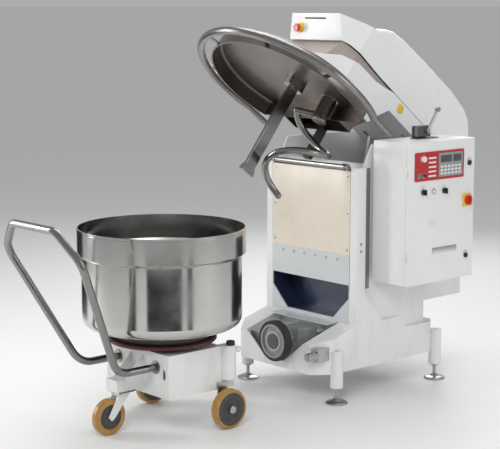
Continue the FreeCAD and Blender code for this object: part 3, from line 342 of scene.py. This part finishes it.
def add_object(name, bm, material, body):
    """Turn the finished bmesh into a named piece that rides on a body."""
    mesh = bpy.data.meshes.new(name)
    bm.to_mesh(mesh)
    bm.free()
    mesh.materials.append(material)
    for polygon in mesh.polygons:
        polygon.use_smooth = True
    mesh.set_sharp_from_angle(angle=math.radians(SMOOTH_BELOW_DEGREES))
    obj = bpy.data.objects.new(name, mesh)
    bpy.context.scene.collection.objects.link(obj)
    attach(obj, body)


def basis(axis):
    """A matrix that turns +Z to the axis."""
    return Vector((0, 0, 1)).rotation_difference(Vector(axis).normalized()).to_matrix().to_4x4()


def add_lathe(bm, profile, centre, axis, segments):
    """Turn a (radius, height) line about an axis through the centre. It closes on the axis at radius 0."""
    turn = Matrix.Translation(centre) @ basis(axis)
    angles = [2 * math.pi * i / segments for i in range(segments)]
    rings = []
    for radius, height in profile:
        if radius == 0:
            rings.append([bm.verts.new(turn @ Vector((0, 0, height)))])
        else:
            rings.append([bm.verts.new(turn @ Vector((radius * math.cos(a), radius * math.sin(a), height)))
                          for a in angles])
    for lower, upper in zip(rings, rings[1:]):
        for i in range(segments):
            j = (i + 1) % segments
            corners = [lower[i % len(lower)], lower[j % len(lower)],
                       upper[j % len(upper)], upper[i % len(upper)]]
            unique = list(dict.fromkeys(corners))
            if len(unique) > 2:
                bm.faces.new(unique)


def lathe(name, profiles, material, body, axis=(1, 0, 0), segments=56):
    """One piece made of one or more turned shapes, given as (centre, profile)."""
    bm = bmesh.new()
    for centre, profile in profiles:
        add_lathe(bm, profile, centre, axis, segments)
    bmesh.ops.recalc_face_normals(bm, faces=bm.faces)
    add_object(name, bm, material, body)


def add_block(bm, low, high, turn=Matrix.Identity(4)):
    low, high = Vector(low), Vector(high)
    place = turn @ Matrix.Translation((low + high) / 2) @ Matrix.Diagonal((*(high - low), 1))
    bmesh.ops.create_cube(bm, size=1, matrix=place)


def blocks(name, boxes, material, body, edge=0.002):
    """One piece made of one or more round-edged blocks, given as (low corner, high corner)."""
    bm = bmesh.new()
    for low, high in boxes:
        add_block(bm, low, high)
    bmesh.ops.bevel(bm, geom=bm.edges[:], offset=edge, segments=3, profile=0.5, affect="EDGES",
                    clamp_overlap=True)
    add_object(name, bm, material, body)


def bolt_profile(radius, height, chamfer=0.25):
    """A low domed bolt head on a washer."""
    washer = radius * 1.55
    return [(0, 0), (washer, 0), (washer, height * 0.2), (radius, height * 0.22), (radius, height * 0.75),
            (radius * (1 - chamfer), height), (0, height)]


def collar_profile(inner, outer, height):
    """A closed ring section with a small chamfer on its outer edge."""
    lip = min(0.002, (outer - inner) * 0.3)
    return [(inner, 0), (outer, 0), (outer, height - lip), (outer - lip, height), (inner, height),
            (inner, 0)]


SHEET_SCREW = (0.006, 0.004)


def screws(name, places, body, axis, size=SHEET_SCREW, segments=24):
    """One piece made of equal screw heads, whose size is what bolt_profile takes."""
    heads = [(place, bolt_profile(*size)) for place in places]
    lathe(name, heads, TURNED, body, axis, segments)


# ---------------------------------------------------------------- control panel on the door
door_low, door_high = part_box("cabinet_door")
bezel_low, bezel_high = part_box("panel_bezel")
DOOR_FACE = door_high.x
BEZEL_FACE = bezel_high.x

KEYPAD_WIDTH, KEYPAD_MARGIN, KEYPAD_TOP_MARGIN, KEYPAD_RISE = 0.210, 0.014, 0.013, 0.002
KEY_COLUMNS, KEY_ROWS, KEY_BOTTOM_MARGIN = 6, 3, 0.012
KEY_PITCH_Y, KEY_PITCH_Z = 0.0315, 0.020
KEY_WIDTH, KEY_HEIGHT, KEY_RISE = 0.022, 0.013, 0.0015
SCREEN_HEIGHT, SCREEN_RISE, FIRST_SCREEN_WIDTH = 0.042, 0.0012, 0.098
LEGEND_COUNT, LEGEND_PITCH, LEGEND_HEIGHT, LEGEND_RISE = 5, 0.026, 0.010, 0.0008
LEGEND_FROM_Y, LEGEND_TO_Y, LEGEND_FROM_Z = 0.115, 0.180, 0.020
TICK_COUNT, TICK_FIRST, TICK_STEP = 11, -135, 27
TICK_INNER, TICK_OUTER, TICK_HALF_WIDTH, TICK_RISE = 0.021, 0.027, 0.0007, 0.0006


def centre_of(node):
    low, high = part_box(node)
    return (low + high) / 2


def on_face(node, face):
    centre = centre_of(node)
    return Vector((face, centre.y, centre.z))


def make_keypad():
    y1 = bezel_high.y - KEYPAD_MARGIN
    y0 = y1 - KEYPAD_WIDTH
    z0, z1 = bezel_low.z + KEYPAD_MARGIN, bezel_high.z - KEYPAD_TOP_MARGIN
    top = BEZEL_FACE + KEYPAD_RISE
    blocks("keypad", [((BEZEL_FACE - KEYPAD_RISE, y0, z0), (top, y1, z1))], GREY_PLASTIC, "door",
           edge=0.0015)
    keys = []
    for column in range(KEY_COLUMNS):
        for row in range(KEY_ROWS):
            y = y0 + KEYPAD_MARGIN + column * KEY_PITCH_Y
            z = z0 + KEY_BOTTOM_MARGIN + row * KEY_PITCH_Z
            keys.append(((top, y, z), (top + KEY_RISE, y + KEY_WIDTH, z + KEY_HEIGHT)))
    blocks("keypad_keys", keys, WHITE_PLASTIC, "door", edge=0.0007)
    left, right = y0 + KEYPAD_MARGIN, y1 - KEYPAD_MARGIN
    gap_start = left + FIRST_SCREEN_WIDTH
    screen_top = z1 - KEYPAD_MARGIN
    screens = [((top, y, screen_top - SCREEN_HEIGHT), (top + SCREEN_RISE, y_end, screen_top))
               for y, y_end in ((left, gap_start), (gap_start + KEYPAD_MARGIN, right))]
    blocks("display_screen", screens, SCREEN, "door", edge=0.0006)


def make_legends():
    """Blank strips beside the buttons, and the scale lines round the program knob."""
    strips = []
    for i in range(LEGEND_COUNT):
        z = bezel_low.z + LEGEND_FROM_Z + i * LEGEND_PITCH
        strips.append(((BEZEL_FACE, bezel_low.y + LEGEND_FROM_Y, z),
                       (BEZEL_FACE + LEGEND_RISE, bezel_low.y + LEGEND_TO_Y, z + LEGEND_HEIGHT)))
    blocks("bezel_legend_strips", strips, WHITE_PLASTIC, "door", edge=0.0003)
    knob = Matrix.Translation(on_face("program_knob", BEZEL_FACE))
    ticks = bmesh.new()
    for i in range(TICK_COUNT):
        turn = knob @ Matrix.Rotation(math.radians(TICK_FIRST + i * TICK_STEP), 4, "X")
        add_block(ticks, (0, -TICK_HALF_WIDTH, TICK_INNER), (TICK_RISE, TICK_HALF_WIDTH, TICK_OUTER),
                  turn)
    add_object("knob_scale", ticks, WHITE_PLASTIC, "door")


# ---------------------------------------------------------------- fittings on the door
# collars as inner radius, outer radius and height
BUTTON_COLLAR, SELECTOR_COLLAR = (0.0118, 0.0155, 0.004), (0.0083, 0.021, 0.0045)
LATCH_COLLAR, LAMP_COLLAR = (0.0155, 0.019, 0.004), (0.013, 0.018, 0.006)
LAMP_LENS = [(0, 0.012), (0.005, 0.0118), (0.010, 0.0095), (0.013, 0.005), (0.013, 0)]
PLATE_RISE = 0.0012
LEGEND_PLATE_HALF_WIDTH, LEGEND_PLATE_BOTTOM, LEGEND_PLATE_TOP = 0.022, 0.027, 0.043
SWITCH_PLATE_HALF, SWITCH_PLATE_RISE, SWITCH_RING = 0.038, 0.0075, (0.0285, 0.034, 0.003)
SWITCH_SCREW_OFFSET, SWITCH_SCREW = 0.031, (0.0025, 0.0015)
RIVET_INSET, RIVET = 0.007, (0.0018, 0.0012)
SEAT_OVERLAP = 0.0002
# corners of plain plates as (y, z) from the door's lower front corner
COVER_PLATE = ((0.172, 0.330), (0.240, 0.372))
RATING_PLATE = ((0.212, 0.168), (0.428, 0.204))


def collars(name, nodes, face, size):
    rings = [(on_face(node, face), collar_profile(*size)) for node in nodes]
    lathe(name, rings, CHROME, "door")


def door_plate(name, corners, material):
    (y0, z0), (y1, z1) = corners
    low = (DOOR_FACE, door_low.y + y0, door_low.z + z0)
    high = (DOOR_FACE + PLATE_RISE, door_low.y + y1, door_low.z + z1)
    blocks(name, [(low, high)], material, "door", edge=0.0005)


def make_selector_fittings():
    selectors = ("selector_left", "selector_right")
    collars("selector_collars", selectors, DOOR_FACE, SELECTOR_COLLAR)
    plates = []
    for node in selectors:
        centre = on_face(node, DOOR_FACE)
        plates.append((centre + Vector((0, -LEGEND_PLATE_HALF_WIDTH, LEGEND_PLATE_BOTTOM)),
                       centre + Vector((PLATE_RISE, LEGEND_PLATE_HALF_WIDTH, LEGEND_PLATE_TOP))))
    blocks("selector_legend_plates", plates, WHITE_PLASTIC, "door", edge=0.0005)
    lamp = (on_face("selector_left", DOOR_FACE) + on_face("selector_right", DOOR_FACE)) / 2
    lathe("pilot_lamp_ring", [(lamp, collar_profile(*LAMP_COLLAR))], CHROME, "door")
    lathe("pilot_lamp_lens", [(lamp, LAMP_LENS)], LENS, "door")


def make_switch_plate():
    switch = on_face("main_switch_knob", DOOR_FACE)
    low = switch + Vector((0, -SWITCH_PLATE_HALF, -SWITCH_PLATE_HALF))
    high = switch + Vector((SWITCH_PLATE_RISE, SWITCH_PLATE_HALF, SWITCH_PLATE_HALF))
    blocks("main_switch_plate", [(low, high)], YELLOW, "door", edge=0.006)
    ring_seat = switch + Vector((SWITCH_PLATE_RISE - SEAT_OVERLAP, 0, 0))
    lathe("main_switch_ring", [(ring_seat, collar_profile(*SWITCH_RING))], YELLOW, "door")
    corners = (-SWITCH_SCREW_OFFSET, SWITCH_SCREW_OFFSET)
    places = [switch + Vector((SWITCH_PLATE_RISE, y, z)) for y in corners for z in corners]
    screws("main_switch_screws", places, "door", (1, 0, 0), SWITCH_SCREW, 20)


def make_door_plates():
    door_plate("cover_plate", COVER_PLATE, WHITE_PLASTIC)
    door_plate("blank_rating_plate", RATING_PLATE, CHROME)
    (y0, z0), (y1, z1) = RATING_PLATE
    places = [Vector((DOOR_FACE + PLATE_RISE - SEAT_OVERLAP, door_low.y + y, door_low.z + (z0 + z1) / 2))
              for y in (y0 + RIVET_INSET, y1 - RIVET_INSET)]
    screws("plate_rivets", places, "door", (1, 0, 0), RIVET, 16)


def make_door():
    make_keypad()
    make_legends()
    collars("button_collars", ("start_button", "stop_button"), BEZEL_FACE, BUTTON_COLLAR)
    make_selector_fittings()
    make_switch_plate()
    collars("latch_collars", ("latch_upper", "latch_lower"), DOOR_FACE, LATCH_COLLAR)
    make_door_plates()


# ---------------------------------------------------------------- machine body trim
STRIP_HOLES, STRIP_HOLE_PITCH, STRIP_FIRST_HOLE, STRIP_HOLE_HEIGHT = 6, 0.093, -0.232, 0.031
STRIP_BOLT_SUNK, STRIP_BOLT = 0.0035, (0.0052, 0.003, 0.2)
PANEL_SCREW_INSET, PANEL_SCREW_END = 0.02, 0.03
POST_SCREW_BACK, POST_SCREW_LEVELS = 0.04, (0.872, 0.915)
REAR_SCREW_LEVELS = (0.56, 0.75, 0.94, 1.13, 1.28)
CAP_BOLTS, CAP_BOLT_CIRCLE, CAP_BOLT = 6, 0.046, (0.006, 0.006)
POST_DEPTH, SHADE_STRIP_STANDOFF, SHADE_STRIP_THICKNESS = 0.079, 0.0002, 0.002
SHADE_STRIP_BELOW_CABINET, SHADE_STRIP_CABINET_GAP, SHADE_STRIP_BELOW_TOP = 0.05, 0.001, 0.006
GLAND = [(0, 0), (0.016, 0), (0.016, 0.008), (0.013, 0.012), (0.013, 0.02), (0.006, 0.024), (0, 0.024)]
GLAND_COUNT, GLAND_PITCH, GLAND_FROM_SIDE, GLAND_FROM_FRONT = 3, 0.05, 0.10, 0.42
FOOT_WASHER = (0.012, 0.038, 0.004)


def make_front_screws():
    strip_low, strip_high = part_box("hole_strip")
    first = (strip_low.x + strip_high.x) / 2 + STRIP_FIRST_HOLE
    places = [Vector((first + i * STRIP_HOLE_PITCH, strip_low.y + STRIP_BOLT_SUNK,
                      strip_low.z + STRIP_HOLE_HEIGHT)) for i in range(STRIP_HOLES)]
    screws("strip_bolts", places, "machine", (0, -1, 0), STRIP_BOLT)
    low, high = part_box("front_panel")
    places = [Vector((x, low.y, z)) for x in (low.x + PANEL_SCREW_INSET, high.x - PANEL_SCREW_INSET)
              for z in (low.z + PANEL_SCREW_END, (low.z + high.z) / 2, high.z - PANEL_SCREW_END)]
    screws("front_panel_screws", places, "machine", (0, -1, 0))


def make_side_trim():
    """Screws in the posts and pivot caps on both sides, and a strip of painted shade on the column side
    between post and cabinet.
    """
    frame_low, frame_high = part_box("portal_frame")
    for label, side, x in (("left", -1, frame_low.x), ("right", 1, frame_high.x)):
        places = [Vector((x, frame_low.y + POST_SCREW_BACK, z)) for z in POST_SCREW_LEVELS]
        screws(f"post_screws_{label}", places, "machine", (side, 0, 0))

    # A thin grey-brown strip on the column side between post and cabinet: painted shade for the recess
    # there.
    _, column_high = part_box("column_sides")
    cabinet_low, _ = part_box("cabinet_box")
    x = column_high.x + SHADE_STRIP_STANDOFF
    shade_strip_low = Vector((x, frame_low.y + POST_DEPTH, cabinet_low.z - SHADE_STRIP_BELOW_CABINET))
    shade_strip_high = Vector((x + SHADE_STRIP_THICKNESS, cabinet_low.y - SHADE_STRIP_CABINET_GAP,
                           frame_high.z - SHADE_STRIP_BELOW_TOP))
    blocks("side_recess_shade_strip", [(shade_strip_low, shade_strip_high)], RECESS_SHADE_GREY, "machine",
           edge=0.0008)

    caps_low, caps_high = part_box("pivot_flanges")
    pivot = (caps_low + caps_high) / 2
    for label, side, x in (("left", -1, caps_low.x), ("right", 1, caps_high.x)):
        places = [Vector((x, pivot.y + CAP_BOLT_CIRCLE * math.cos(a),
                          pivot.z + CAP_BOLT_CIRCLE * math.sin(a)))
                  for a in (2 * math.pi * i / CAP_BOLTS for i in range(CAP_BOLTS))]
        screws(f"pivot_cap_bolts_{label}", places, "machine", (side, 0, 0), CAP_BOLT)


def make_rear_and_underside():
    low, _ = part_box("cabinet_box")
    glands = [(Vector((low.x + GLAND_FROM_SIDE + GLAND_PITCH * i, low.y + GLAND_FROM_FRONT, low.z)), GLAND)
              for i in range(GLAND_COUNT)]
    lathe("blanked_cable_glands", glands, BLACK, "machine", (0, 0, -1), 30)

    cover_low, cover_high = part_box("rear_cover")
    places = [Vector((x, cover_high.y, z))
              for x in (cover_low.x + PANEL_SCREW_INSET, cover_high.x - PANEL_SCREW_INSET)
              for z in REAR_SCREW_LEVELS]
    screws("rear_cover_screws", places, "machine", (0, 1, 0))

    rings = [(Vector((x, y, base_low.z)), collar_profile(*FOOT_WASHER))
             for x in (feet_low.x + FOOT_PAD_RADIUS, feet_high.x - FOOT_PAD_RADIUS)
             for y in (feet_low.y + FOOT_PAD_RADIUS, feet_high.y - FOOT_PAD_RADIUS)]
    lathe("foot_washers", rings, TURNED, "machine", (0, 0, -1), 40)


# ---------------------------------------------------------------- head trim
NOSE_BEHIND_STOP, COLLAR_SINK, STRIP_RISE, STRIP_SINK = 0.018, 0.0015, 0.0015, 0.003
STOP_COLLAR = [(0.0123, 0), (0.030, 0), (0.030, 0.006), (0.027, 0.010), (0.026, 0.023), (0.023, 0.025),
               (0.0123, 0.025), (0.0123, 0)]
STRIP_LEFT, STRIP_RIGHT, STRIP_BELOW_TOP, STRIP_HEIGHT = -0.090, 0.085, 0.025, 0.009
STICKER_SPOT = at(0, 0.664, 1.671)
STICKER = [(0, 0), (0.030, 0), (0.0300, 0.0006), (0.0295, 0.0009), (0, 0.0009)]


def make_head_trim():
    """The nose of the raised head stands upright, so its trim is placed on a plane of one depth."""
    _, stop_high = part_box("e_stop_button")
    stop = centre_of("e_stop_button")
    nose_y = stop_high.y + NOSE_BEHIND_STOP
    seat = Vector((stop.x, nose_y + COLLAR_SINK, stop.z))
    lathe("e_stop_collar", [(seat, STOP_COLLAR)], YELLOW, "head", (0, -1, 0))
    _, cover_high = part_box("head_upper_cover")
    top = cover_high.z - STRIP_BELOW_TOP
    strip_low = Vector((CENTRE_X + STRIP_LEFT, nose_y - STRIP_RISE, top - STRIP_HEIGHT))
    strip_high = Vector((CENTRE_X + STRIP_RIGHT, nose_y + STRIP_SINK, top))
    blocks("nose_slot_strip", [(strip_low, strip_high)], BLACK, "head", edge=0.001)
    spot = Vector((cover_high.x, STICKER_SPOT.y, STICKER_SPOT.z))
    lathe("plain_round_sticker", [(spot, STICKER)], YELLOW, "head", (1, 0, 0), 40)


# ---------------------------------------------------------------- trolley and bowl trim
ROLLER = [(0, 0), (0.022, 0), (0.024, 0.003), (0.024, 0.020), (0.021, 0.024), (0, 0.024)]
POST_AXIS_FROM_SIDE, POST_AXIS_FROM_FRONT = 0.022, 0.045
SWIVEL_RADIUS = 0.038
FLANGE_HALF, FLANGE_BOTTOM, FLANGE_TOP = 0.056, 0.0005, 0.0081
FLANGE_BOLT_OFFSET, FLANGE_BOLT_START = 0.042, 0.0003
HEXAGON_HEAD = [(0, 0), (0.008, 0), (0.008, 0.005), (0, 0.005)]
BAND_SEAM_HEIGHT, SEAM_RADIUS, BEAD_RADIUS, BEAD_SIDES = 0.393, 0.4405, 0.0022, 10


def make_trolley_trim():
    low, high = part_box("docking_post")
    post = Vector((low.x + POST_AXIS_FROM_SIDE, low.y + POST_AXIS_FROM_FRONT, high.z))
    lathe("docking_roller", [(post, ROLLER)], RUBBER, "trolley", (0, 0, 1), 48)

    low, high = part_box("caster_fork")
    swivel = Vector(((low.x + high.x) / 2, high.y - SWIVEL_RADIUS, high.z))
    flange = (swivel + Vector((-FLANGE_HALF, -FLANGE_HALF, FLANGE_BOTTOM)),
              swivel + Vector((FLANGE_HALF, FLANGE_HALF, FLANGE_TOP)))
    blocks("caster_flange", [flange], RING_RED, "trolley")
    offsets = (-FLANGE_BOLT_OFFSET, FLANGE_BOLT_OFFSET)
    bolts = [(swivel + Vector((x, y, FLANGE_BOLT_START)), HEXAGON_HEAD) for x in offsets for y in offsets]
    lathe("caster_flange_bolts", bolts, TURNED, "trolley", (0, 0, -1), 6)


def make_bowl_trim():
    """A weld bead where the band meets the bowl."""
    low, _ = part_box("bowl_shell")
    centre = centre_of("bowl_shell")
    seam = Vector((centre.x, centre.y, low.z + BAND_SEAM_HEIGHT))
    bead = [(SEAM_RADIUS + BEAD_RADIUS * math.cos(a), BEAD_RADIUS * math.sin(a))
            for a in (2 * math.pi * i / BEAD_SIDES for i in range(BEAD_SIDES + 1))]
    lathe("bowl_band_weld", [(seam, bead)], TURNED, "bowl", (0, 0, 1), 160)


# ---------------------------------------------------------------- stage, lights, camera
FLOOR_REACH = 1500
WORLD_COLOUR, WORLD_STRENGTH = (0.93, 0.94, 0.95, 1), 0.45

# name: place, width, height and power, each aimed at LIGHT_TARGET
LIGHT_TARGET = at(0, -0.4, 1.0)
LIGHTS = {
    "key": (at(3.4, -4.6, 4.4), 2.6, 2.6, 150),
    "left_strip": (at(-3.6, -3.6, 2.2), 0.9, 3.4, 85),
    "right_fill": (at(5.2, 1.6, 2.6), 2.4, 3.0, 48),
    "top": (at(-0.6, 0.6, 5.2), 3.4, 3.4, 100),
    "back": (at(-3.0, 4.2, 3.4), 2.6, 2.6, 70),
}

# name: bearing from the bowl, distance, width, lower edge and upper edge
FLAGS = {
    "flag_front": (-35, 2.4, 2.0, 0.0, 0.57),
    "flag_front_left": (-76, 2.4, 0.36, 0.0, 0.60),
    "flag_front_right": (-2, 2.4, 0.28, 0.0, 0.60),
    "flag_left": (-178, 3.0, 1.6, 0.0, 1.2),
    "flag_right": (60, 0.75, 0.28, 0.5, 1.0),
}

CAMERA_PLACE = at(6.054, -5.722, 2.30)
CAMERA_BEARING, CAMERA_DOWN = 48.3, 8.82
LENS_MM, SENSOR_MM = 102.6, 36


def stage_sheet(name, material, size, matrix=Matrix.Identity(4)):
    """A flat staged sheet that reaches the size each way from its middle, before the matrix."""
    mesh = bpy.data.meshes.new(name)
    bm = bmesh.new()
    bmesh.ops.create_grid(bm, x_segments=1, y_segments=1, size=size, matrix=matrix)
    bm.to_mesh(mesh)
    bm.free()
    mesh.materials.append(material)
    sheet = bpy.data.objects.new(name, mesh)
    bpy.context.scene.collection.objects.link(sheet)
    return sheet


def make_floor():
    material, shader = new_material("pale_floor")
    shader.inputs["Base Color"].default_value = (0.88, 0.88, 0.87, 1)
    link(material, spread(material, noise(material, 3, 4), 0.5, 0.62), shader.inputs["Roughness"])
    stage_sheet("floor", material, FLOOR_REACH)


def make_flags():
    """Dark panels that only reflections show, which give the polished bowl its dark bands."""
    material, shader = new_material("flag_black")
    shader.inputs["Base Color"].default_value = (0.02, 0.02, 0.022, 1)
    shader.inputs["Roughness"].default_value = 0.9
    bowl = centre_of("bowl_shell")
    for name, (bearing, away, width, low, high) in FLAGS.items():
        angle = math.radians(bearing)
        outward = Vector((math.cos(angle), math.sin(angle), 0))
        flag = stage_sheet(name, material, 0.5, Matrix.Diagonal((width, high - low, 1, 1)))
        flag.location = Vector((bowl.x, bowl.y, (low + high) / 2)) + outward * away
        flag.rotation_euler = (-outward).to_track_quat("Z", "Y").to_euler()
        flag.visible_camera = False
        flag.visible_shadow = False
        flag.visible_diffuse = False


def make_lights():
    for name, (place, width, height, power) in LIGHTS.items():
        data = bpy.data.lights.new(name, "AREA")
        data.shape = "RECTANGLE"
        data.size, data.size_y = width, height
        data.energy = power
        light = bpy.data.objects.new(name, data)
        bpy.context.scene.collection.objects.link(light)
        light.location = place
        light.rotation_euler = (LIGHT_TARGET - place).to_track_quat("-Z", "Y").to_euler()
    # The bowl would mirror the key light as one blank white patch.
    bpy.data.objects["key"].visible_glossy = False


def make_world():
    world = bpy.data.worlds.new("studio")
    world.use_nodes = True
    background = world.node_tree.nodes["Background"]
    background.inputs["Color"].default_value = WORLD_COLOUR
    background.inputs["Strength"].default_value = WORLD_STRENGTH
    bpy.context.scene.world = world


def make_camera():
    data = bpy.data.cameras.new("camera")
    data.lens = LENS_MM
    data.sensor_width = SENSOR_MM
    camera = bpy.data.objects.new("camera", data)
    bpy.context.scene.collection.objects.link(camera)
    camera.location = CAMERA_PLACE
    camera.rotation_euler = (math.radians(90 - CAMERA_DOWN), 0, math.radians(CAMERA_BEARING))
    bpy.context.scene.camera = camera


make_door()
make_front_screws()
make_side_trim()
make_rear_and_underside()
make_head_trim()
make_trolley_trim()
make_bowl_trim()
make_floor()
make_lights()
make_flags()
make_world()
make_camera()
bpy.context.scene.view_settings.view_transform = "Standard"
